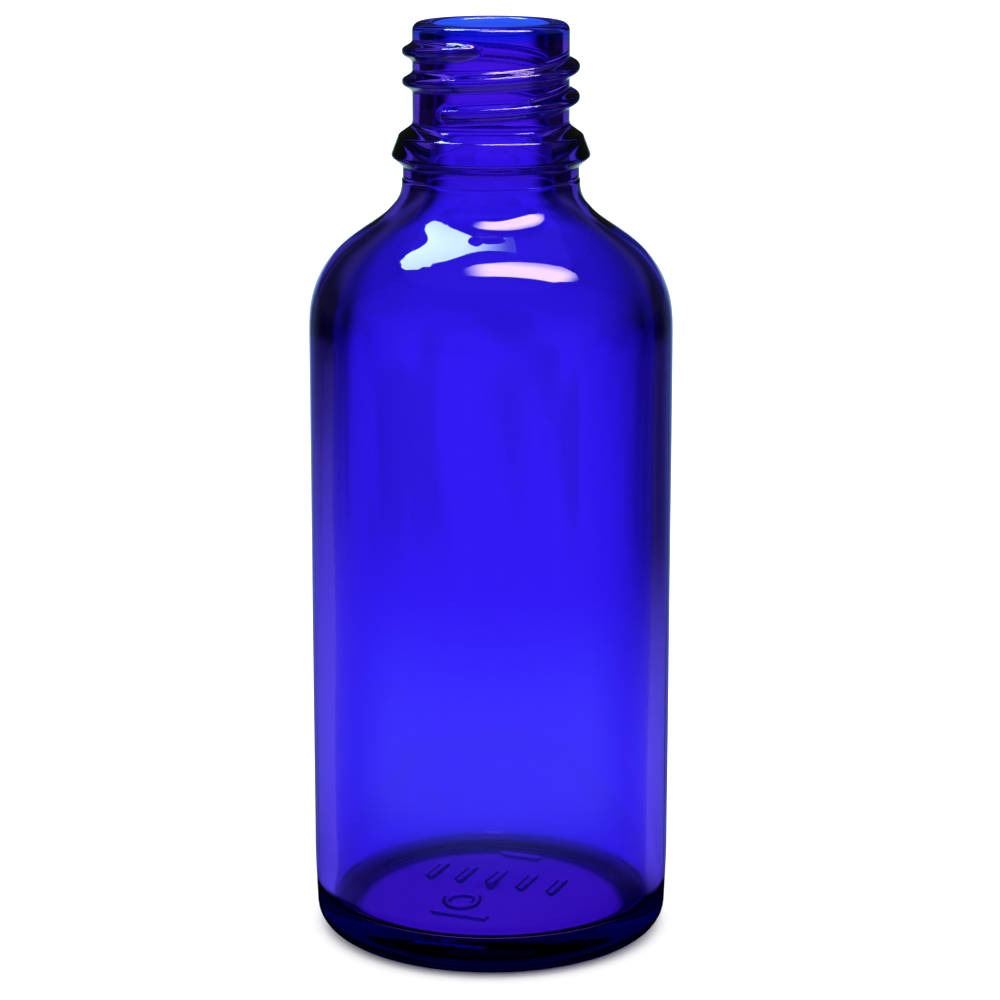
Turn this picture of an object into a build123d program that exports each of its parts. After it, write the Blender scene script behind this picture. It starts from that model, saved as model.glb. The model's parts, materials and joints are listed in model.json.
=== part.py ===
from build123d import *
import math
import os

# Round moulded glass bottle with an 18 mm screw neck, standing on its base.
# Origin: centre of the base on the ground. +Z up along the bottle's axis. -Y is the front.
# Every size is in millimetres. "Depth" is measured down from the lip's top face.

# Overall
TOTAL_HEIGHT = 94.0
BODY_RADIUS = 18.5
BODY_WALL = 2.25

# Screw neck, 18 mm across the thread, 3 mm pitch
NECK_ROOT_RADIUS = 7.86
MOUTH_BORE_RADIUS = 5.75
MOUTH_BORE_DEPTH = 4.0
LIP_OUTER_FILLET = 0.85
LIP_INNER_FILLET = 0.45
THREAD_PITCH = 3.0
THREAD_HALF_ANGLE = 30.0
THREAD_APEX = 1.58
THREAD_CREST_FILLET = 0.55
THREAD_EMBED = 0.35
THREAD_START_DEPTH = 2.15
FRONT_BEARING = -90.0
THREAD_TOTAL_ANGLE = 764.0
THREAD_START_TAPER = 26.0
THREAD_END_TAPER = 10.0
TAPER_STEPS = 4
TAPER_END_SHARE = 0.06

# Transfer bead under the thread: a ring with a sloped top, a slanted face and an undercut
BEAD_FOOT_DEPTH = 10.15
BEAD_TOP_DEPTH = 11.15
BEAD_TOP_RADIUS = 9.25
BEAD_EDGE_DEPTH = 13.25
BEAD_EDGE_RADIUS = 10.06
BEAD_UNDER_DEPTH = 14.25
BEAD_FOOT_FILLET = 0.9
BEAD_TOP_FILLET = 0.6
BEAD_EDGE_FILLET = 0.4

# Neck below the bead, with the small step left by the joint between two moulds
LOWER_NECK_RADIUS = 8.86
MOULD_STEP_DEPTH = 15.5
MOULD_STEP_RADIUS = 8.96

# Shoulder: concave throat, straight slope, convex round into the body
SHOULDER_TOP_CORNER_DEPTH = 18.05
SHOULDER_LOW_CORNER_DEPTH = 24.35
THROAT_FILLET = 3.8
SHOULDER_FILLET = 10.3

# Heel and base
HEEL_TAPER_HEIGHT = 7.3
HEEL_CORNER_RADIUS = 18.1
HEEL_FILLET = 2.5
HEEL_BLEND_FILLET = 35.0
BEARING_RING_RADIUS = 15.0
PUNT_EDGE_RADIUS = 14.3
PUNT_EDGE_HEIGHT = 0.55
PUNT_RISE = 0.95
PUNT_FILLET = 0.5

# Inside: the bore widens under the thread, then opens into the blown body
BORE_WIDENS_DEPTH = 9.5
BORE_WIDENED_DEPTH = 12.5
INNER_NECK_RADIUS = 6.4
BORE_FILLET = 5.0
INNER_THROAT_DEPTH = 18.5
INNER_SHOULDER_DEPTH = 26.1
INNER_THROAT_FILLET = 5.0
INNER_SHOULDER_FILLET = 9.0
FLOOR_EDGE_HEIGHT = 3.7
FLOOR_CENTRE_HEIGHT = 4.0
INNER_HEEL_FILLET = 1.0

# Relief marks standing out of the punt. Bars are (length, width), ends rounded.
MARK_FACE_HEIGHT = 0.5
MARK_ROOT_HEIGHT = 1.4
MARK_TILT = -22.0
ROW_BAR = (4.4, 0.9)
ROW_PITCH = 3.4
ROW_COUNT = 5
ROW_CENTRE = (0.5, 4.2)
RING_CENTRE = (-3.0, -2.2)
RING_OUTER_RADIUS = 1.9
RING_INNER_RADIUS = 1.2
LONG_BAR = (6.0, 0.7)
LONG_BAR_CENTRE = (-3.2, -5.6)
SHORT_BAR = (4.4, 0.8)
SHORT_BAR_CENTRE = (3.2, 11.2)

inner_radius = BODY_RADIUS - BODY_WALL

# The thread keeps its full height from run_start to run_end, in degrees along it
thread_root = NECK_ROOT_RADIUS - THREAD_EMBED
run_start = THREAD_START_TAPER
run_end = THREAD_TOTAL_ANGLE - THREAD_END_TAPER


def height_at(depth):
    """Height above the base of a point that lies this far below the lip."""
    return TOTAL_HEIGHT - depth


def thread_plane(turned):
    """Section plane of the thread, this many degrees along it from its upper end.

    X points outwards and Z runs along the thread, rising. The thread is made with the lower
    end of its full-height stretch on the X axis.
    """
    bearing = math.radians(run_end - turned)
    height = height_at(THREAD_START_DEPTH + THREAD_PITCH * turned / 360.0)
    rise = THREAD_PITCH / (2 * math.pi * thread_root)
    outward = Vector(math.cos(bearing), math.sin(bearing), 0)
    along = Vector(-math.sin(bearing), math.cos(bearing), rise)
    return Plane(outward * thread_root + Vector(0, 0, height), outward, along)


def thread_section(turned, share=1.0):
    """Rounded triangular section of the thread, at this share of its full height."""
    apex = THREAD_EMBED + THREAD_APEX * share
    half_base = apex * math.tan(math.radians(THREAD_HALF_ANGLE))
    with BuildSketch(thread_plane(turned)) as section:
        with BuildLine():
            Polyline((0, -half_base), (apex, 0), (0, half_base), close=True)
        make_face()
        fillet(section.vertices().sort_by(Axis.X)[-1:], THREAD_CREST_FILLET * share)
    return section.sketch


def taper_sections(full_at, length):
    """Sections of a stretch that sinks from full height, here, to almost nothing."""
    stations = [step / TAPER_STEPS for step in range(TAPER_STEPS + 1)]
    shares = [max(TAPER_END_SHARE, math.cos(math.pi / 2 * station)) for station in stations]
    return [
        thread_section(full_at + length * station, share)
        for station, share in zip(stations, shares)
    ]


# The outside of the bottle, from the middle of the base to the inside of the lip
outer_corners = [
    (0, PUNT_RISE),
    (PUNT_EDGE_RADIUS, PUNT_EDGE_HEIGHT),
    (BEARING_RING_RADIUS, 0),
    (HEEL_CORNER_RADIUS, 0),
    (BODY_RADIUS, HEEL_TAPER_HEIGHT),
    (BODY_RADIUS, height_at(SHOULDER_LOW_CORNER_DEPTH)),
    (MOULD_STEP_RADIUS, height_at(SHOULDER_TOP_CORNER_DEPTH)),
    (MOULD_STEP_RADIUS, height_at(MOULD_STEP_DEPTH)),
    (LOWER_NECK_RADIUS, height_at(MOULD_STEP_DEPTH)),
    (LOWER_NECK_RADIUS, height_at(BEAD_UNDER_DEPTH)),
    (BEAD_EDGE_RADIUS, height_at(BEAD_EDGE_DEPTH)),
    (BEAD_TOP_RADIUS, height_at(BEAD_TOP_DEPTH)),
    (NECK_ROOT_RADIUS, height_at(BEAD_FOOT_DEPTH)),
    (NECK_ROOT_RADIUS, TOTAL_HEIGHT),
    (MOUTH_BORE_RADIUS, TOTAL_HEIGHT),
    (MOUTH_BORE_RADIUS, height_at(MOUTH_BORE_DEPTH)),
]
outer_fillets = [
    PUNT_FILLET,
    PUNT_FILLET,
    HEEL_FILLET,
    HEEL_BLEND_FILLET,
    SHOULDER_FILLET,
    THROAT_FILLET,
    0,
    0,
    BEAD_EDGE_FILLET,
    BEAD_EDGE_FILLET,
    BEAD_TOP_FILLET,
    BEAD_FOOT_FILLET,
    LIP_OUTER_FILLET,
    LIP_INNER_FILLET,
]

# The inside, from the bore down to the middle of the floor
inner_corners = [
    (MOUTH_BORE_RADIUS, height_at(MOUTH_BORE_DEPTH)),
    (MOUTH_BORE_RADIUS, height_at(BORE_WIDENS_DEPTH)),
    (INNER_NECK_RADIUS, height_at(BORE_WIDENED_DEPTH)),
    (INNER_NECK_RADIUS, height_at(INNER_THROAT_DEPTH)),
    (inner_radius, height_at(INNER_SHOULDER_DEPTH)),
    (inner_radius, FLOOR_EDGE_HEIGHT),
    (0, FLOOR_CENTRE_HEIGHT),
]
inner_fillets = [
    BORE_FILLET,
    BORE_FILLET,
    INNER_THROAT_FILLET,
    INNER_SHOULDER_FILLET,
    INNER_HEEL_FILLET,
]

# The thread: a right-handed ridge that tapers out at its upper end and stops short, with
# a round nose, at its lower end
with BuildPart() as thread:
    with BuildLine() as run:
        Helix(
            pitch=THREAD_PITCH,
            height=THREAD_PITCH * (run_end - run_start) / 360.0,
            radius=thread_root,
            center=(0, 0, thread_plane(run_end).origin.Z),
        )
    sweep(thread_section(run_end), path=run.line, is_frenet=True)
    loft(taper_sections(run_start, -THREAD_START_TAPER))
    loft(taper_sections(run_end, THREAD_END_TAPER))

with BuildPart() as bottle:
    # Body, shoulder, neck and bead are one turned section
    with BuildSketch(Plane.XZ):
        with BuildLine():
            FilletPolyline(outer_corners, radius=outer_fillets)
            FilletPolyline(inner_corners, radius=inner_fillets)
            Line(inner_corners[-1], outer_corners[0])
        make_face()
    revolve(axis=Axis.Z)

    # Relief marks on the underside: a slanted row of bars, a small ring and two more bars
    with BuildSketch(Plane.XY.offset(MARK_ROOT_HEIGHT)):
        with Locations(Pos(*ROW_CENTRE) * Rot(0, 0, MARK_TILT)):
            with GridLocations(ROW_PITCH, 0, ROW_COUNT, 1):
                SlotOverall(*ROW_BAR, rotation=90)
        with Locations(RING_CENTRE):
            Circle(RING_OUTER_RADIUS)
            Circle(RING_INNER_RADIUS, mode=Mode.SUBTRACT)
        with Locations(LONG_BAR_CENTRE):
            SlotOverall(*LONG_BAR, rotation=MARK_TILT)
        with Locations(SHORT_BAR_CENTRE):
            SlotOverall(*SHORT_BAR, rotation=MARK_TILT)
    extrude(amount=MARK_FACE_HEIGHT - MARK_ROOT_HEIGHT)

    # The thread starts at the front of the neck
    add(thread.part, rotation=(0, 0, FRONT_BEARING - run_end))

bottle.part.label = "bottle"
os.makedirs("parts", exist_ok=True)
export_step(bottle.part, "parts/bottle.step")
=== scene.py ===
import bpy
import json
import math
import numpy as np
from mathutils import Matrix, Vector


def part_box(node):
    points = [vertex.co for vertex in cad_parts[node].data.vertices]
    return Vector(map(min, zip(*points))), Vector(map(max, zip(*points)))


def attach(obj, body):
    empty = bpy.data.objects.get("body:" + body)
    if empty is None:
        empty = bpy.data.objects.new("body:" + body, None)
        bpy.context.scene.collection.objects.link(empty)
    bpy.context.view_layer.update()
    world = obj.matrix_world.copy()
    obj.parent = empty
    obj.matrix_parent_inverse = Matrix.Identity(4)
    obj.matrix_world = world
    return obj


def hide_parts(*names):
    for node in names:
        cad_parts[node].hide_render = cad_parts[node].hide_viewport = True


# A cobalt-blue glass bottle with a screw neck, on a pale floor in soft studio light.
# Blender's unit is the metre. The bottle's outlines are in millimetres, like the object's
# own drawing, and MM turns them into metres when the mesh is made. "Depth" is measured
# down from the lip's top face.
MM = 0.001

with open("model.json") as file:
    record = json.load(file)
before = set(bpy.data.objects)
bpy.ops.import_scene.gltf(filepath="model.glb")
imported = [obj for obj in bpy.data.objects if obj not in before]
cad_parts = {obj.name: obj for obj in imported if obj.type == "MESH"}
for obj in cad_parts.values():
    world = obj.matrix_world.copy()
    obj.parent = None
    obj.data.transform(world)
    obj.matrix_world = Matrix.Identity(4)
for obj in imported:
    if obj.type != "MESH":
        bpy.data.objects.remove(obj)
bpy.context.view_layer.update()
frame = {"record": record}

# Overall sizes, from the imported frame
low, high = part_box("bottle")
mounts = {mount["name"]: mount for mount in frame["record"]["mounts"]}
HEIGHT = (high[2] - low[2]) / MM
BODY_R = (high[0] - low[0]) / 2 / MM
BORE_R = mounts["mouth_bore"]["dims"]["r_mm"]

# Base: a shallow punt, the bearing ring, and the heel with its slight taper
PUNT_RISE = 0.95
PUNT_R = 14.3
PUNT_EDGE_HEIGHT = 0.55
BEARING_R = 15.0
HEEL_START_R = 15.6
HEEL_CORNER_R = 18.1
HEEL_TAPER_HEIGHT = 7.3
MID_BODY_HEIGHT = 40.0

# Shoulder, and the neck below the bead with the small step of the mould joint
SHOULDER_LOW_DEPTH = 24.35
SHOULDER_TOP_DEPTH = 18.05
STEP_FOOT_DEPTH = 15.6
STEP_TOP_DEPTH = 15.5
STEP_R = 8.96
LOWER_NECK_R = 8.86

# Tamper bead: a ring with a sloped top, a slanted face and an undercut
BEAD_UNDER_DEPTH = 14.25
BEAD_EDGE_DEPTH = 13.25
BEAD_EDGE_R = 10.06
BEAD_TOP_DEPTH = 11.15
BEAD_TOP_R = 9.25
BEAD_FOOT_DEPTH = 10.15
FINISH_FOOT_DEPTH = 9.5

# Inside: the bore widens under the thread, then opens into the blown body
BORE_START_DEPTH = 2.0
BORE_WIDENS_DEPTH = 9.5
BORE_WIDENED_DEPTH = 12.5
WIDE_BORE_R = 6.4
INNER_THROAT_DEPTH = 18.5
INNER_SHOULDER_DEPTH = 26.1
BODY_WALL = 2.25
LOWER_WALL_HEIGHT = 20.0
FLOOR_EDGE_HEIGHT = 3.7
FLOOR_CENTRE_HEIGHT = 4.0

# The mesh is a lathe grid: columns round the axis, rings along the outline at these steps
COLUMNS = 360
OUTER_STEP = 0.45
LIP_STEP = 0.055
PUNT_STEP = 0.15
INNER_STEP = 0.5
FEWEST_ARC_STEPS = 5

# The shoulder's curvature is evened out over this length along the outline. Near the ends
# it shrinks, so that the distance left is at least END_ROOM times as long.
OUTER_EASE = 1.2
INNER_EASE = 1.4
END_ROOM = 2.5

# Screw thread: right-handed, running down and clockwise from the front of the neck
FRONT = -math.pi / 2
ROOT_R = 7.86
PITCH = 3.0
THREAD_START_DEPTH = 2.15
THREAD_TURNS = 764 / 360
START_TAPER = 26 / 360
END_TAPER = 10 / 360
THREAD_APEX = 1.58
CREST_FILLET = 0.55
FLANK_ANGLE = math.radians(30)
ROOT_BLEND = 0.4
THREAD_ZONE_DEPTH = 10.5

# Mould seams: two thin ridges up the sides, kept inside the body's radius. The width is
# from a ridge's middle to its foot.
SEAM_HEIGHT = 0.035
SEAM_WIDTH = 0.22

# Blown glass is never quite even. Long soft waves run over both sides, the outer ones sunk
# by OUTER_SINK times their size so that they stay inside the body's radius.
WAVE_COUNT = 14
MOST_LOBES = 6
OUTER_WAVE = {"size": 0.010, "seed": 4, "rise": 0.12}
OUTER_SINK = 2.2
INNER_WAVE = {"size": 0.045, "seed": 9, "rise": 0.07}

# The wall is also thinner towards one bearing, and the drift slowly turns over with height
WALL_DRIFT = 0.12
DRIFT_BEARING = 0.6
DRIFT_LENGTH = 40

# Waves, drift and seams fade in over these heights, and over these depths under the finish,
# because the base and the finish are sharper mouldings
FADE_HEIGHTS = (2, 8)
FADE_DEPTHS = (15, 20)

# Rings this far inside the neck's root radius still count as the bottle's side
SIDE_SLACK = 0.01

# Relief on the underside. Bars are (length, width) and the ring is (radius, width).
MARK_HEIGHT = 0.4
MARK_EDGE = 0.25
MARK_TILT = math.radians(-22)
MARK_ZONE_HEIGHT = 1.2
ROW_CENTRE = (0.5, 4.2)
ROW_PITCH = 3.4
ROW_BAR = (3.5, 0.9)
RING_CENTRE = (-3.0, -2.2)
RING_SIZE = (1.55, 0.7)
LONG_BAR_CENTRE = (-3.2, -5.6)
LONG_BAR = (5.3, 0.7)
SHORT_BAR_CENTRE = (3.2, 11.2)
SHORT_BAR = (3.6, 0.8)


def up(depth):
    """Height above the base of a point this far below the lip's top face."""
    return HEIGHT - depth


# ---------------------------------------------------------------------------------------
# Outlines: corners (radius, height, fillet) joined by straight runs and tangent arcs
# ---------------------------------------------------------------------------------------
def spaced_run(start, end, step):
    """Points from start, left out, to end, kept, at most step apart."""
    count = max(1, math.ceil(np.linalg.norm(end - start) / step))
    return [start + (end - start) * k / count for k in range(1, count + 1)]


def fillet_arc(corner, toward_before, toward_after, fillet, step):
    """First tangent point and the points of the arc that rounds one corner."""
    turn = math.pi - math.acos(float(np.clip(toward_before @ toward_after, -1, 1)))
    start = corner + toward_before * fillet * math.tan(turn / 2)
    bisector = toward_before + toward_after
    centre = corner + bisector / np.linalg.norm(bisector) * fillet / math.cos(turn / 2)
    ray = start - centre
    cross = toward_before[0] * toward_after[1] - toward_before[1] * toward_after[0]
    side = 1 if cross < 0 else -1
    count = max(FEWEST_ARC_STEPS, math.ceil(fillet * turn / step))
    arc = []
    for k in range(1, count + 1):
        cos, sin = math.cos(side * turn * k / count), math.sin(side * turn * k / count)
        arc.append(centre + np.array([ray[0] * cos - ray[1] * sin, ray[0] * sin + ray[1] * cos]))
    return start, arc


def outline(corners, step):
    """Points along the rounded outline, at most step apart."""
    points = [np.array(corner[:2], float) for corner in corners]
    path = [points[0]]
    for k in range(1, len(points) - 1):
        before = points[k - 1] - points[k]
        after = points[k + 1] - points[k]
        before /= np.linalg.norm(before)
        after /= np.linalg.norm(after)
        start, arc = fillet_arc(points[k], before, after, corners[k][2], step)
        path += spaced_run(path[-1], start, step) + arc
    path += spaced_run(path[-1], points[-1], step)
    return np.array(path)


def eased(path, reach):
    """The same outline with its curvature evened out over this length along it.

    Points are spaced unevenly, so each takes the mean of the outline around it, weighted
    by a bell curve of the distance along it. The ends stay where they are.
    """
    along = np.concatenate([[0], np.cumsum(np.linalg.norm(np.diff(path, axis=0), axis=1))])
    share = np.gradient(along)
    out = path.copy()
    for k in range(1, len(path) - 1):
        local = min(reach, along[k] / END_ROOM, (along[-1] - along[k]) / END_ROOM)
        weight = share * np.exp(-0.5 * ((along - along[k]) / local) ** 2)
        out[k] = weight @ path / weight.sum()
    return out


def outer_outline():
    """Base centre, punt, bearing ring, heel, body, shoulder, bead and neck, to the bore."""
    heel_start = (HEEL_START_R, 0, 0)
    mid_body = (BODY_R, MID_BODY_HEIGHT, 0)
    step_foot = (STEP_R, up(STEP_FOOT_DEPTH), 0)
    finish_foot = (ROOT_R, up(FINISH_FOOT_DEPTH), 0)
    punt = [
        (0, PUNT_RISE, 0),
        (PUNT_R, PUNT_EDGE_HEIGHT, 0.6),
        (BEARING_R, 0, 0.5),
        heel_start,
    ]
    heel = [
        heel_start,
        (HEEL_CORNER_R, 0, 2.5),
        (BODY_R, HEEL_TAPER_HEIGHT, 35.0),
        mid_body,
    ]
    shoulder = [
        mid_body,
        (BODY_R, up(SHOULDER_LOW_DEPTH), 10.3),
        (STEP_R, up(SHOULDER_TOP_DEPTH), 3.8),
        step_foot,
    ]
    bead = [
        step_foot,
        (LOWER_NECK_R, up(STEP_TOP_DEPTH), 0.1),
        (LOWER_NECK_R, up(BEAD_UNDER_DEPTH), 0.4),
        (BEAD_EDGE_R, up(BEAD_EDGE_DEPTH), 0.4),
        (BEAD_TOP_R, up(BEAD_TOP_DEPTH), 0.6),
        (ROOT_R, up(BEAD_FOOT_DEPTH), 0.9),
        finish_foot,
    ]
    lip = [
        finish_foot,
        (ROOT_R, HEIGHT, 0.85),
        (BORE_R, HEIGHT, 0.5),
        (BORE_R, up(BORE_START_DEPTH), 0),
    ]
    return np.vstack([
        outline(punt, PUNT_STEP),
        outline(heel, OUTER_STEP)[1:],
        eased(outline(shoulder, OUTER_STEP), OUTER_EASE)[1:],
        outline(bead, OUTER_STEP)[1:],
        outline(lip, LIP_STEP)[1:],
    ])


def inner_outline():
    """Down the bore, over the inner shoulder and down the wall to the middle of the floor."""
    wall_r = BODY_R - BODY_WALL
    lower_wall = (wall_r, LOWER_WALL_HEIGHT, 0)
    bore = [
        (BORE_R, up(BORE_START_DEPTH), 0),
        (BORE_R, up(BORE_WIDENS_DEPTH), 5.0),
        (WIDE_BORE_R, up(BORE_WIDENED_DEPTH), 5.0),
        (WIDE_BORE_R, up(INNER_THROAT_DEPTH), 5.0),
        (wall_r, up(INNER_SHOULDER_DEPTH), 9.0),
        lower_wall,
    ]
    floor = [
        lower_wall,
        (wall_r, FLOOR_EDGE_HEIGHT, 1.0),
        (0, FLOOR_CENTRE_HEIGHT, 0),
    ]
    return np.vstack([
        eased(outline(bore, INNER_STEP), INNER_EASE)[1:],
        outline(floor, INNER_STEP)[1:],
    ])


# ---------------------------------------------------------------------------------------
# Height fields laid over the outlines. Angles are in radians, counterclockwise from +X.
# ---------------------------------------------------------------------------------------
def smooth(x):
    x = np.clip(x, 0, 1)
    return x * x * (3 - 2 * x)


def fade(x, start, end):
    """Smooth step from 0 at start to 1 at end."""
    return smooth((x - start) / (end - start))


def soft_max(a, b, width):
    """Larger of two values, with the corner between them rounded over this width."""
    gap = np.clip(0.5 + 0.5 * (a - b) / width, 0, 1)
    return b + (a - b) * gap + width * gap * (1 - gap)


def thread_height(angle, depth):
    """How far the thread stands out of the neck's root cylinder."""
    turn = np.mod(FRONT - angle, 2 * math.pi) / (2 * math.pi)
    crest_centre = THREAD_APEX - CREST_FILLET / math.sin(FLANK_ANGLE)
    tangent_at = CREST_FILLET * math.cos(FLANK_ANGLE)
    total = np.zeros_like(angle)
    for lap in range(math.ceil(THREAD_TURNS) + 1):
        along = turn + lap
        away = np.abs(depth - THREAD_START_DEPTH - PITCH * along)
        flank = THREAD_APEX - away / math.tan(FLANK_ANGLE)
        crest = crest_centre + np.sqrt(np.clip(CREST_FILLET ** 2 - away ** 2, 0, None))
        ridge = np.where(away < tangent_at, crest, flank)
        lead_in = np.sin(np.clip(along / START_TAPER, 0, 1) * math.pi / 2)
        lead_out = np.sqrt(np.clip((THREAD_TURNS - along) / END_TAPER, 0, 1))
        sunk = ridge - (1 - lead_in * lead_out) * (THREAD_APEX + ROOT_BLEND)
        on_thread = (along >= 0) & (along <= THREAD_TURNS)
        height = np.where(on_thread, soft_max(sunk, 0.0, ROOT_BLEND), 0.0)
        total = np.maximum(total, height)
    return total


def seam_height(angle):
    """Two thin ridges where the mould halves met, on the left and right sides."""
    across = BODY_R * np.abs(np.sin(angle))
    return SEAM_HEIGHT * np.exp(-((across / SEAM_WIDTH) ** 2) * 4)


def waves(angle, height, size, seed, rise):
    """Smooth uneven waves of about this size either way, seamless round the axis."""
    draw = np.random.default_rng(seed)
    total = np.zeros_like(angle)
    for _ in range(WAVE_COUNT):
        lobes = draw.integers(1, MOST_LOBES + 1)
        slant = draw.normal(0, rise)
        phase = draw.uniform(0, 2 * math.pi)
        total += np.cos(lobes * angle + slant * height + phase)
    return size * (total / math.sqrt(WAVE_COUNT))


def raised(away, width):
    """Height of a mark this far from its middle line: 1 on its top, sloping to 0 outside."""
    return smooth((width / 2 - away) / MARK_EDGE + 0.5)


def bar(x, y, centre, direction, size):
    """Raised bar of this (length, width) with round ends."""
    length, width = size
    dx, dy = x - centre[0], y - centre[1]
    ux, uy = math.cos(direction), math.sin(direction)
    along = np.clip(dx * ux + dy * uy, -length / 2, length / 2)
    return raised(np.hypot(dx - along * ux, dy - along * uy), width)


def ring(x, y, centre, size):
    """Raised ring of this (radius, width)."""
    radius, width = size
    return raised(np.abs(np.hypot(x - centre[0], y - centre[1]) - radius), width)


def underside_marks(x, y):
    """Plain relief pattern: a slanted row of five bars, with a ring and two more bars."""
    marks = [
        ring(x, y, RING_CENTRE, RING_SIZE),
        bar(x, y, LONG_BAR_CENTRE, MARK_TILT, LONG_BAR),
        bar(x, y, SHORT_BAR_CENTRE, MARK_TILT, SHORT_BAR),
    ]
    for k in range(-2, 3):
        centre = (ROW_CENTRE[0] + k * ROW_PITCH * math.cos(MARK_TILT),
                  ROW_CENTRE[1] + k * ROW_PITCH * math.sin(MARK_TILT))
        marks.append(bar(x, y, centre, MARK_TILT + math.pi / 2, ROW_BAR))
    return np.maximum.reduce(marks)


# ---------------------------------------------------------------------------------------
# The glass
# ---------------------------------------------------------------------------------------
def bottle_rings():
    """Ring coordinates (radius, height) of the whole skin, and which rings are inside."""
    outer = outer_outline()
    inner = inner_outline()
    rings = np.vstack([outer[1:], inner[:-1]])
    inside = np.arange(len(rings)) >= len(outer) - 1
    return rings, inside, outer[0][1], inner[-1][1]


def shaped_radius(turn, radius, height, inner):
    """Radius with the waves, the seams and the thread added to the plain outline."""
    depth = HEIGHT - height
    on_side = fade(height, *FADE_HEIGHTS) * fade(depth, *FADE_DEPTHS)
    outer_side = ~inner & (radius > ROOT_R - SIDE_SLACK)
    outside = waves(turn, height, **OUTER_WAVE) - OUTER_WAVE["size"] * OUTER_SINK
    outside = outside + seam_height(turn) - SEAM_HEIGHT
    drift = WALL_DRIFT * np.cos(turn - DRIFT_BEARING) * np.cos(height / DRIFT_LENGTH)
    inside = waves(turn, height, **INNER_WAVE) + drift
    on_neck = outer_side & (depth < THREAD_ZONE_DEPTH)
    radius = radius + np.where(outer_side, outside * on_side, 0)
    radius = radius + np.where(inner, inside * on_side, 0)
    return radius + np.where(on_neck, thread_height(turn, depth), 0)


def lathe_faces(rows):
    """Quads between neighbouring rings, and a fan round the end point of each side."""
    base_centre, floor_centre = rows * COLUMNS, rows * COLUMNS + 1
    last = (rows - 1) * COLUMNS
    faces = []
    for k in range(COLUMNS):
        after = (k + 1) % COLUMNS
        faces.append((base_centre, after, k))
        faces.append((floor_centre, last + k, last + after))
    for row in range(rows - 1):
        near, far = row * COLUMNS, (row + 1) * COLUMNS
        for k in range(COLUMNS):
            after = (k + 1) % COLUMNS
            faces.append((near + k, near + after, far + after, far + k))
    return faces


def bottle_mesh():
    """The whole skin of the glass, outside and inside, as one closed mesh."""
    rings, inside, punt_height, floor_height = bottle_rings()
    angle = np.arange(COLUMNS) * 2 * math.pi / COLUMNS
    turn, radius = np.meshgrid(angle, rings[:, 0])
    height = np.meshgrid(angle, rings[:, 1])[1]
    inner = np.repeat(inside[:, None], COLUMNS, axis=1)
    radius = shaped_radius(turn, radius, height, inner)
    x = radius * np.cos(turn)
    y = radius * np.sin(turn)
    on_punt = ~inner & (height < MARK_ZONE_HEIGHT) & (radius < PUNT_R)
    height = height - np.where(on_punt, MARK_HEIGHT * underside_marks(x, y), 0)
    skin = np.stack([x, y, height], axis=-1).reshape(-1, 3)
    ends = np.array([[0, 0, punt_height], [0, 0, floor_height]])
    mesh = bpy.data.meshes.new("bottle_glass")
    mesh.from_pydata((np.vstack([skin, ends]) * MM).tolist(), [], lathe_faces(len(rings)))
    mesh.shade_smooth()
    return mesh


# ---------------------------------------------------------------------------------------
# Shader nodes. A value is a number, a colour or another node's output.
# ---------------------------------------------------------------------------------------
BLACK = (0, 0, 0, 1)
WHITE = (1, 1, 1, 1)

# A Mix node's sockets for colours have the same names as those for its other data types
MIX_FACTOR, MIX_FIRST, MIX_SECOND, MIX_RESULT = 0, 6, 7, 2


def feed(tree, socket, value):
    """Link another node's output to a socket, or set the socket to a constant."""
    if isinstance(value, bpy.types.NodeSocket):
        tree.links.new(value, socket)
    else:
        socket.default_value = value


def node(tree, kind, **inputs):
    """New shader node with its inputs fed by name, underscores for spaces."""
    made = tree.nodes.new(kind)
    for name, value in inputs.items():
        feed(tree, made.inputs[name.replace("_", " ")], value)
    return made


def math_node(tree, operation, *values):
    made = tree.nodes.new("ShaderNodeMath")
    made.operation = operation
    for socket, value in zip(made.inputs, values):
        feed(tree, socket, value)
    return made.outputs["Value"]


def added(tree, first, second):
    return math_node(tree, "ADD", first, second)


def difference(tree, first, second):
    return math_node(tree, "SUBTRACT", first, second)


def product(tree, first, second):
    return math_node(tree, "MULTIPLY", first, second)


def opposite(tree, value):
    return difference(tree, 1.0, value)


def distance(tree, x, y):
    return math_node(tree, "SQRT", added(tree, product(tree, x, x), product(tree, y, y)))


def bearing(tree, x, y):
    """Angle away from straight behind the bottle, of a direction x sideways and y rearward."""
    return math_node(tree, "ABSOLUTE", math_node(tree, "ARCTAN2", x, y))


def ramp(tree, value, start, end):
    """Smooth step of a value from 0 at start to 1 at end."""
    step = node(tree, "ShaderNodeMapRange", Value=value, From_Min=start, From_Max=end)
    step.interpolation_type = "SMOOTHSTEP"
    return step.outputs["Result"]


def angle_ramp(tree, value, start, end):
    """The same for an angle, with the start and end in degrees."""
    return ramp(tree, value, math.radians(start), math.radians(end))


def mix_colours(tree, factor, first, second):
    """First colour where the factor is 0 and second where it is 1."""
    mix = tree.nodes.new("ShaderNodeMix")
    mix.data_type = "RGBA"
    feed(tree, mix.inputs[MIX_FACTOR], factor)
    feed(tree, mix.inputs[MIX_FIRST], first)
    feed(tree, mix.inputs[MIX_SECOND], second)
    return mix.outputs[MIX_RESULT]


def ground_place(tree):
    """Where the shaded point is, as X and Y outputs."""
    position = tree.nodes.new("ShaderNodeNewGeometry").outputs["Position"]
    place = node(tree, "ShaderNodeSeparateXYZ", Vector=position)
    return place.outputs["X"], place.outputs["Y"]


def bare_material(name):
    """New material with nothing in its node tree but the output, and that output's inputs."""
    material = bpy.data.materials.new(name)
    material.use_nodes = True
    tree = material.node_tree
    tree.nodes.clear()
    return material, tree, tree.nodes.new("ShaderNodeOutputMaterial").inputs


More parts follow.
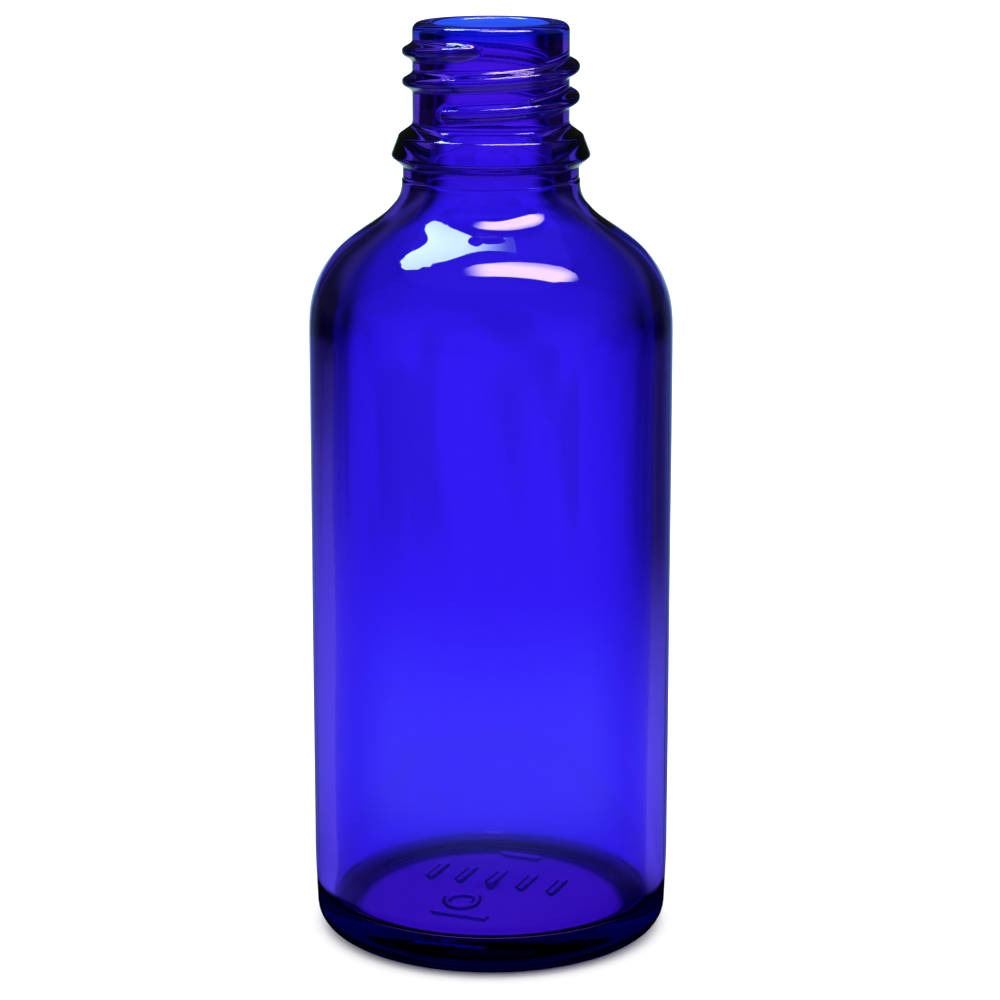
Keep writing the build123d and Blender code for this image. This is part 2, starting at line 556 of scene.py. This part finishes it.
# ---------------------------------------------------------------------------------------
# Cobalt glass
# ---------------------------------------------------------------------------------------
GLASS_IOR = 1.52
ABSORBED_COLOUR = (0.0, 0.048, 0.643, 1)
ABSORBED_DENSITY = 210
BODY_TINT = (0.24, 0.13, 1, 1)
NECK_TINT = (0.33, 0.11, 1, 1)
LIP_TINT = (0.03, 0.13, 1, 1)
# The heel's colour is painted shade: it darkens the thick heel, standing in for the shadow under
# the bottle that the glass shows there.
HEEL_PAINTED_SHADE = (0.10, 0.09, 0.28, 1)

# Where one tint gives way to the next, in metres: heights, and for the heel's painted shade
# also distances off the axis
NECK_ZONE = (0.074, 0.083)
LIP_ZONE = (up(2.2) * MM, up(0.8) * MM)
HEEL_SHADE_HEIGHTS = (0.0016, 0.0032)
HEEL_SHADE_RADII = (0.0150, 0.0165)


def glass_tint(tree, coords):
    """More violet up the neck, bluer at the lip, and painted shade that darkens the thick heel.
    """
    place = node(tree, "ShaderNodeSeparateXYZ", Vector=coords).outputs
    off_axis = distance(tree, place["X"], place["Y"])
    # Painted shade: the surface colour turns dark low down round the heel, away from the axis.
    low_down = opposite(tree, ramp(tree, place["Z"], *HEEL_SHADE_HEIGHTS))
    heel_painted_shade = product(tree, low_down, ramp(tree, off_axis, *HEEL_SHADE_RADII))
    tint = mix_colours(tree, ramp(tree, place["Z"], *NECK_ZONE), BODY_TINT, NECK_TINT)
    tint = mix_colours(tree, ramp(tree, place["Z"], *LIP_ZONE), tint, LIP_TINT)
    return mix_colours(tree, heel_painted_shade, tint, HEEL_PAINTED_SHADE)


def glass_material():
    """Cobalt glass: coloured through, with a surface tint that holds painted shade on the heel,
    faint smudges and fine ripples.
    """
    material, tree, output = bare_material("cobalt_glass")
    coords = tree.nodes.new("ShaderNodeTexCoord").outputs["Object"]

    # Smudges about a centimetre across dull the polish a little
    smudge = node(tree, "ShaderNodeTexNoise", Vector=coords, Scale=90, Detail=4)
    polish = node(tree, "ShaderNodeMapRange", Value=smudge.outputs["Fac"], From_Min=0.45,
                  From_Max=0.75, To_Min=0.004, To_Max=0.03)

    # Ripples about 4 mm apart and a few microns high
    ripple = node(tree, "ShaderNodeTexNoise", Vector=coords, Scale=260, Detail=2)
    bump = node(tree, "ShaderNodeBump", Height=ripple.outputs["Fac"], Strength=0.25,
                Distance=0.00002)

    shader = node(tree, "ShaderNodeBsdfPrincipled", IOR=GLASS_IOR, Transmission_Weight=1,
                  Base_Color=glass_tint(tree, coords), Roughness=polish.outputs["Result"],
                  Normal=bump.outputs["Normal"])
    absorb = node(tree, "ShaderNodeVolumeAbsorption", Color=ABSORBED_COLOUR,
                  Density=ABSORBED_DENSITY)
    feed(tree, output["Surface"], shader.outputs["BSDF"])
    feed(tree, output["Volume"], absorb.outputs["Volume"])
    return material


def add_object(name, data):
    made = bpy.data.objects.new(name, data)
    bpy.context.scene.collection.objects.link(made)
    return made


def build_bottle():
    bottle = add_object("bottle_glass", bottle_mesh())
    bottle.data.materials.append(glass_material())
    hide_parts("bottle")
    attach(bottle, "root")


# ---------------------------------------------------------------------------------------
# Studio, in metres: a pale floor under soft light from above. Dark flags and bright cards
# that only the glass sees give it its dark edges and its highlights. The flags reach past
# the floor, so that none of it shows undimmed. The back of the studio is at +Y.
# ---------------------------------------------------------------------------------------
FLOOR_R = 4.0
FLAG_R = 4.3
FLOOR_COLOUR = (0.92, 0.92, 0.92, 1)
# Painted light: the floor itself glows in this colour under the bottle, seen through the base.
PAINTED_GLOW_COLOUR = (1.0, 0.33, 0.33, 1)
PAINTED_GLOW = 2.8
PAINTED_GLOW_EDGE = (0.0128, 0.0142)
MIRROR_TINT = (0.5, 0.85, 1, 1)


def flat_sheet(name, corners, height):
    """Level polygon through these (x, y) corners."""
    mesh = bpy.data.meshes.new(name)
    mesh.from_pydata([(x, y, height) for x, y in corners], [], [tuple(range(len(corners)))])
    return add_object(name, mesh)


def circle_corners(radius, sides=96):
    angles = [k * 2 * math.pi / sides for k in range(sides)]
    return [(radius * math.cos(a), radius * math.sin(a)) for a in angles]


def show_to(thing, camera=False, diffuse=False, glossy=False, transmission=False, shadow=False):
    """Which rays meet a light or a flag."""
    thing.visible_camera = camera
    thing.visible_diffuse = diffuse
    thing.visible_glossy = glossy
    thing.visible_transmission = transmission
    thing.visible_shadow = shadow


def floor_material():
    """Matt white table with a painted glow where the bottle stands, as light coming up under its
    base.
    """
    material = bpy.data.materials.new("floor")
    material.use_nodes = True
    tree = material.node_tree
    off_axis = distance(tree, *ground_place(tree))
    glow_under_bottle = opposite(tree, ramp(tree, off_axis, *PAINTED_GLOW_EDGE))
    shader = tree.nodes["Principled BSDF"].inputs
    shader["Base Color"].default_value = FLOOR_COLOUR
    shader["Roughness"].default_value = 0.9
    # Painted light: emission in the floor's surface under the bottle, not a lamp.
    shader["Emission Color"].default_value = PAINTED_GLOW_COLOUR
    feed(tree, shader["Emission Strength"], product(tree, glow_under_bottle, PAINTED_GLOW))
    return material


def build_floor():
    floor = flat_sheet("floor", circle_corners(FLOOR_R), 0.0)
    floor.data.materials.append(floor_material())


def side_dark(tree, x, y, far=1.0):
    """Two dark screens behind the bottle, left and right of a pale gap straight behind it.

    The screens lean outwards and thin out where far falls from 1 to 0, close to the bottle,
    and the left one stands a little further out.
    """
    on_left = math_node(tree, "LESS_THAN", x, 0.0)
    lean = math_node(tree, "MULTIPLY_ADD", far, 0.32, 0.68)
    off_gap = product(tree, bearing(tree, x, y), lean)
    off_gap = difference(tree, off_gap, product(tree, on_left, math.radians(1.5)))
    gap_edge = angle_ramp(tree, off_gap, 9, 20)
    far_edge = angle_ramp(tree, bearing(tree, x, y), 95, 120)
    black = math_node(tree, "MULTIPLY_ADD", far, 0.17, 0.80)
    return product(tree, difference(tree, gap_edge, far_edge), black)


def streaks(tree, x, y, away):
    """Faint soft tongues of shade that fan out from the bottle, 0 to 1."""
    place = node(tree, "ShaderNodeCombineXYZ", X=math_node(tree, "ARCTAN2", x, y),
                 Y=product(tree, away, 0.35))
    noise = node(tree, "ShaderNodeTexNoise", Vector=place.outputs["Vector"], Scale=9, Detail=1)
    return ramp(tree, noise.outputs["Fac"], 0.47, 0.6)


def refracted_pale(tree, x, y):
    """What the glass refracts: a pale gap between screens, and darkness before the heel."""
    away = distance(tree, x, y)

    # The screens begin at some distance, the left one further off
    on_left = math_node(tree, "LESS_THAN", x, 0.0)
    slower = math_node(tree, "MULTIPLY_ADD", on_left, -0.45, 1.0)
    onset = ramp(tree, product(tree, away, slower), 0.06, 0.19)
    screens = product(tree, side_dark(tree, x, y, ramp(tree, away, 0.1, 0.75)), onset)

    # The pale gap dims a little with distance and has tongues of shade midway
    near_fall = product(tree, ramp(tree, away, 0.05, 0.16), 0.11)
    far_fall = product(tree, ramp(tree, away, 0.3, 0.7), 0.13)
    midway = difference(tree, ramp(tree, away, 0.13, 0.2), ramp(tree, away, 0.35, 0.8))
    tongues = product(tree, streaks(tree, x, y, away), product(tree, midway, 0.16))
    level = difference(tree, difference(tree, 0.91, added(tree, near_fall, far_fall)), tongues)

    # A dark ring close before the front of the heel
    past_base = ramp(tree, away, 0.0136, 0.0142)
    close_by = opposite(tree, ramp(tree, away, 0.028, 0.04))
    in_front = opposite(tree, ramp(tree, y, 0.0, 0.014))
    front_ring = product(tree, product(tree, past_base, close_by), in_front)

    pale = product(tree, opposite(tree, screens), level)
    return product(tree, pale, opposite(tree, front_ring))


def mirrored_pale(tree, x, y):
    """What the glass mirrors: a pale gap behind it, the floor nearby, and black elsewhere."""
    away = distance(tree, x, y)
    off_gap = bearing(tree, x, y)
    near_gap = opposite(tree, angle_ramp(tree, off_gap, 10, 26))
    beside = opposite(tree, angle_ramp(tree, off_gap, 26, 50))
    gap = math_node(tree, "MULTIPLY_ADD", near_gap, 0.44, product(tree, beside, 0.06))

    # The floor shows as a ring, brighter in front, that keeps clear of the foot there
    close_by = opposite(tree, ramp(tree, away, 0.045, 0.075))
    clear_of_foot = opposite(tree, product(tree, angle_ramp(tree, off_gap, 50, 70), close_by))
    floor_ring = product(tree, clear_of_foot, opposite(tree, ramp(tree, away, 0.085, 0.17)))
    brighter = angle_ramp(tree, off_gap, 90, 125)
    level = math_node(tree, "MULTIPLY_ADD", brighter, 0.27, 0.05)
    return math_node(tree, "MAXIMUM", gap, product(tree, floor_ring, level))


def shade_material(name, pale, tint):
    """Clear sheet that dims what lies under it: pale(tree, x, y) is 1 clear to 0 black."""
    material, tree, output = bare_material(name)
    colour = mix_colours(tree, pale(tree, *ground_place(tree)), BLACK, tint)
    clear = node(tree, "ShaderNodeBsdfTransparent", Color=colour)
    feed(tree, output["Surface"], clear.outputs["BSDF"])
    return material


def build_flags():
    """Shades just above the floor: one dims what the glass refracts, one what it mirrors."""
    for name, pale, tint, height, rays in (
        ("refracted_flag", refracted_pale, WHITE, 0.00003, {"transmission": True}),
        ("mirrored_flag", mirrored_pale, MIRROR_TINT, 0.00004, {"glossy": True}),
    ):
        flag = flat_sheet(name, circle_corners(FLAG_R), height)
        flag.data.materials.append(shade_material(name, pale, tint))
        show_to(flag, **rays)


def build_world():
    """Even light on the floor. The glass sees it pale at the horizon, between the screens."""
    world = bpy.data.worlds.new("studio")
    bpy.context.scene.world = world
    world.use_nodes = True
    tree = world.node_tree
    coords = tree.nodes.new("ShaderNodeTexCoord").outputs["Generated"]
    ray = tree.nodes.new("ShaderNodeLightPath").outputs
    toward = node(tree, "ShaderNodeSeparateXYZ", Vector=coords).outputs

    # Refracted rays see the screens fade and the sky darken with height
    faded = opposite(tree, product(tree, ramp(tree, toward["Z"], 0.12, 0.33), 0.6))
    screens = product(tree, side_dark(tree, toward["X"], toward["Y"]), faded)
    sky = math_node(tree, "MULTIPLY_ADD", ramp(tree, toward["Z"], 0.1, 0.5), -0.65, 0.84)
    refracted = product(tree, product(tree, sky, opposite(tree, screens)),
                        ray["Is Transmission Ray"])

    lighting = product(tree, ray["Is Diffuse Ray"], 1.55)
    mirrored = product(tree, ray["Is Glossy Ray"], 0.02)
    open_air = product(tree, ray["Is Camera Ray"], 1.05)
    total = added(tree, added(tree, refracted, lighting), added(tree, mirrored, open_air))
    background = tree.nodes["Background"]
    background.inputs["Color"].default_value = WHITE
    feed(tree, background.inputs["Strength"], total)


# Cards that the shoulder mirrors: corners on level planes over the bottle
WINDOW = [
    (-0.63, 0.21), (-0.62, 0.13), (-0.51, 0.06), (-0.45, 0.09), (-0.40, 0.06), (-0.36, 0.11),
    (-0.28, 0.11), (-0.20, 0.14), (-0.12, 0.17), (0.14, 0.175), (0.14, 0.26), (-0.05, 0.31),
    (-0.20, 0.34), (-0.30, 0.39), (-0.37, 0.41), (-0.42, 0.42), (-0.47, 0.43), (-0.51, 0.41),
    (-0.54, 0.37), (-0.59, 0.34), (-0.60, 0.27),
]
STRIP = [
    (-0.15, -0.15), (-0.14, -0.06), (-0.07, -0.01), (0.12, 0.04), (0.34, 0.07), (0.47, 0.04),
    (0.57, -0.03), (0.55, -0.10), (0.38, -0.19), (-0.07, -0.18),
]
WINDOW_HEIGHT = 0.95
STRIP_HEIGHT = 0.72
WINDOW_COLOUR = (0.72, 0.97, 1.0, 1)
STRIP_COLOUR = (1.0, 0.76, 0.93, 1)


def window_strength(tree, x, _):
    """Full at the left, fading into a faint tail to the right."""
    return math_node(tree, "MULTIPLY_ADD", ramp(tree, x, -0.16, 0.12), -14.2, 15)


def strip_strength(tree, x, y):
    """Full in the middle of its front half, with soft ends and a soft rear edge."""
    left = ramp(tree, x, -0.15, 0.0)
    right = opposite(tree, ramp(tree, x, 0.40, 0.58))
    rear = opposite(tree, product(tree, ramp(tree, y, -0.05, 0.06), 0.6))
    return product(tree, product(tree, product(tree, left, right), rear), 20)


def glow_material(name, colour, strength):
    """Light of this colour, as strong as strength(tree, x, y) says at each place."""
    material, tree, output = bare_material(name)
    glow = node(tree, "ShaderNodeEmission", Color=colour,
                Strength=strength(tree, *ground_place(tree)))
    feed(tree, output["Surface"], glow.outputs["Emission"])
    return material


def build_cards():
    """A cool window and a warm strip light, seen only as reflections in the glass."""
    for name, corners, height, colour, strength in (
        ("window_card", WINDOW, WINDOW_HEIGHT, WINDOW_COLOUR, window_strength),
        ("strip_card", STRIP, STRIP_HEIGHT, STRIP_COLOUR, strip_strength),
    ):
        card = flat_sheet(name, corners, height)
        card.data.materials.append(glow_material(name, colour, strength))
        show_to(card, glossy=True)


def build_overhead_light():
    """Broad round light shining down from above, a little behind the bottle."""
    across = 2.4
    radiance = 0.92
    data = bpy.data.lights.new("overhead", "AREA")
    data.shape = "ELLIPSE"
    data.size = data.size_y = across
    data.energy = radiance * across * across * math.pi ** 2 / 4
    data.color = (1, 1, 1)
    light = add_object("overhead", data)
    light.location = (0, 0.4, 1.6)
    show_to(light, diffuse=True, transmission=True, shadow=True)


def build_camera():
    """Looks down a little from the front, level across the picture."""
    tilt = math.radians(13.395)
    reach = 0.3332
    aim_share = 0.481
    aim = Vector((0, 0, HEIGHT * MM * aim_share))
    data = bpy.data.cameras.new("camera")
    data.sensor_width = 36
    data.lens = 116.84
    data.shift_x = 0.0090
    data.clip_start = 0.01
    data.clip_end = 20
    camera = add_object("camera", data)
    camera.location = aim + reach * Vector((0, -math.cos(tilt), math.sin(tilt)))
    camera.rotation_euler = (math.pi / 2 - tilt, 0, 0)
    bpy.context.scene.camera = camera


def set_up_view():
    """Plain colours, and enough bounces for light to cross both walls of the glass."""
    scene = bpy.context.scene
    scene.view_settings.view_transform = "Standard"
    scene.view_settings.look = "None"
    scene.cycles.max_bounces = 24
    scene.cycles.transmission_bounces = 20
    scene.cycles.glossy_bounces = 10


build_bottle()
build_floor()
build_world()
build_flags()
build_cards()
build_overhead_light()
build_camera()
set_up_view()
